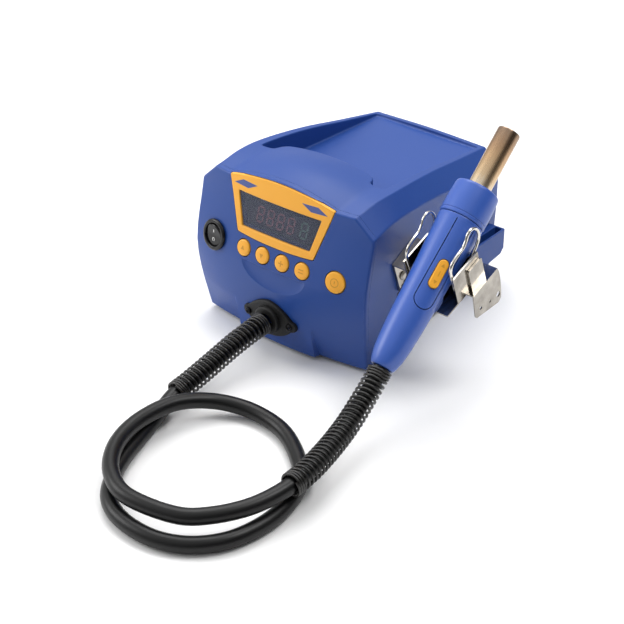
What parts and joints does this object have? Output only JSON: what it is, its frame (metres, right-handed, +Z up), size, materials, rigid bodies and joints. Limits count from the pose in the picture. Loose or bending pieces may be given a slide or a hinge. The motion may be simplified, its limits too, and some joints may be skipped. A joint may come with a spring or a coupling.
{
  "type": "hot air station",
  "caption": "Bench hot air rework station: blue housing with top tray, display, keys and rocker switch, hose, and a handpiece in a side cradle.",
  "frame": {"origin": "centre of the footprint on the bench, hose and its guards left out", "axes": "+Z up; the control panel faces -Y and the handpiece is on the +X side"},
  "size_m": [0.2298, 0.4283, 0.1783],
  "materials": {
    "housing_blue": "fine moulded texture, mid blue",
    "handle_blue": "smooth satin blue",
    "yellow_plastic": "orange yellow, satin",
    "smoked_window": "smoked acrylic, dark segments behind it",
    "hose_rubber": "satin black hose",
    "guard_wire": "black coated spring wire",
    "soft_rubber": "matte black moulded rubber",
    "black_plastic": "black, satin",
    "dark_panel": "dark grey moulded",
    "spring_wire": "bright plated wire",
    "holder_steel": "bright brushed sheet",
    "black_screw": "black coated",
    "fastener_steel": "plain plated",
    "inner_steel": "plain",
    "copper_winding": "lacquered windings",
    "circuit_board": "green solder mask",
    "heat_tinted_steel": "stainless with straw and brown heat tint",
    "ceramic": "unglazed"
  },
  "bodies": {
    "station": {"front_fascia": "housing_blue", "display_bezel": "yellow_plastic", "display_window": "smoked_window", "switch_barrel": "black_plastic", "hood": "housing_blue", "base_pan": "dark_panel", "rear_panel": "dark_panel", "mains_inlet": "black_plastic", "inlet_pin_1": "fastener_steel", "inlet_pin_2": "fastener_steel", "inlet_pin_3": "fastener_steel", "fuse_holder": "black_plastic", "foot_1": "soft_rubber", "foot_2": "soft_rubber", "foot_3": "soft_rubber", "foot_4": "soft_rubber", "side_pocket": "housing_blue", "hose_gland": "soft_rubber", "gland_screw_1": "black_screw", "gland_screw_2": "black_screw", "blower_case": "dark_panel", "blower_motor": "inner_steel", "air_duct": "hose_rubber", "transformer_core": "inner_steel", "transformer_coil": "copper_winding", "mains_board": "circuit_board", "panel_board": "circuit_board", "display_module": "black_plastic", "holder_cradle": "holder_steel", "holder_bracket": "holder_steel", "cradle_rivet_1": "fastener_steel", "cradle_rivet_2": "fastener_steel", "bracket_screw_1": "fastener_steel", "bracket_screw_2": "fastener_steel", "cradle_wire_left": "spring_wire", "cradle_wire_right": "spring_wire", "guard_station": "guard_wire", "hose": "hose_rubber", "guard_handpiece": "guard_wire"},
    "switch_rocker": {"switch_rocker": "black_plastic"},
    "key_1": {"key_1": "yellow_plastic"},
    "key_2": {"key_2": "yellow_plastic"},
    "key_3": {"key_3": "yellow_plastic"},
    "key_4": {"key_4": "yellow_plastic"},
    "start_key": {"start_key": "yellow_plastic"},
    "blower_impeller": {"blower_impeller": "black_plastic"},
    "handpiece": {"grip_front": "handle_blue", "grip_back": "handle_blue", "finger_pad": "soft_rubber", "key_panel": "handle_blue", "hand_board": "circuit_board", "collar": "handle_blue", "heater_pipe": "heat_tinted_steel", "heater_core": "ceramic", "heater_mount": "ceramic", "inner_air_tube": "hose_rubber"},
    "hand_key": {"hand_key": "yellow_plastic"}
  },
  "joints": [
    {"name": "power_rocker", "type": "hinge", "parent": "station", "child": "switch_rocker", "pos_m": [-0.09226, -0.0779, 0.07479], "axis": [-0.9887, 0.1499, 0], "range_deg": [0, 16]},
    {"name": "key_1_press", "type": "slide", "parent": "station", "child": "key_1", "axis": [0.047, 0.9662, -0.2535], "range_m": [0, 0.0012], "stiffness_N_per_m": 400, "springref_m": -0.0008},
    {"name": "key_2_press", "type": "slide", "parent": "station", "child": "key_2", "axis": [0.0091, 0.9657, -0.2594], "range_m": [0, 0.0012], "stiffness_N_per_m": 400, "springref_m": -0.0008},
    {"name": "key_3_press", "type": "slide", "parent": "station", "child": "key_3", "axis": [-0.0091, 0.9657, -0.2594], "range_m": [0, 0.0012], "stiffness_N_per_m": 400, "springref_m": -0.0008},
    {"name": "key_4_press", "type": "slide", "parent": "station", "child": "key_4", "axis": [-0.047, 0.9662, -0.2535], "range_m": [0, 0.0012], "stiffness_N_per_m": 400, "springref_m": -0.0008},
    {"name": "start_key_press", "type": "slide", "parent": "station", "child": "start_key", "axis": [-0.1364, 0.9656, -0.2216], "range_m": [0, 0.0012], "stiffness_N_per_m": 400, "springref_m": -0.0008},
    {"name": "impeller_spin", "type": "hinge", "parent": "station", "child": "blower_impeller", "pos_m": [-0.00811, 0.03946, 0.03], "axis": [0, 0, 1], "continuous": true},
    {"name": "handpiece_lift", "type": "slide", "parent": "station", "child": "handpiece", "axis": [0, -0.6534, 0.757], "range_m": [0, 0.06]},
    {"name": "hand_key_rock", "type": "hinge", "parent": "handpiece", "child": "hand_key", "pos_m": [0.09589, -0.06118, 0.10187], "axis": [-0.7071, -0.462, 0.5353], "range_deg": [-4, 4], "stiffness_Nm_per_rad": 0.05}
  ]
}
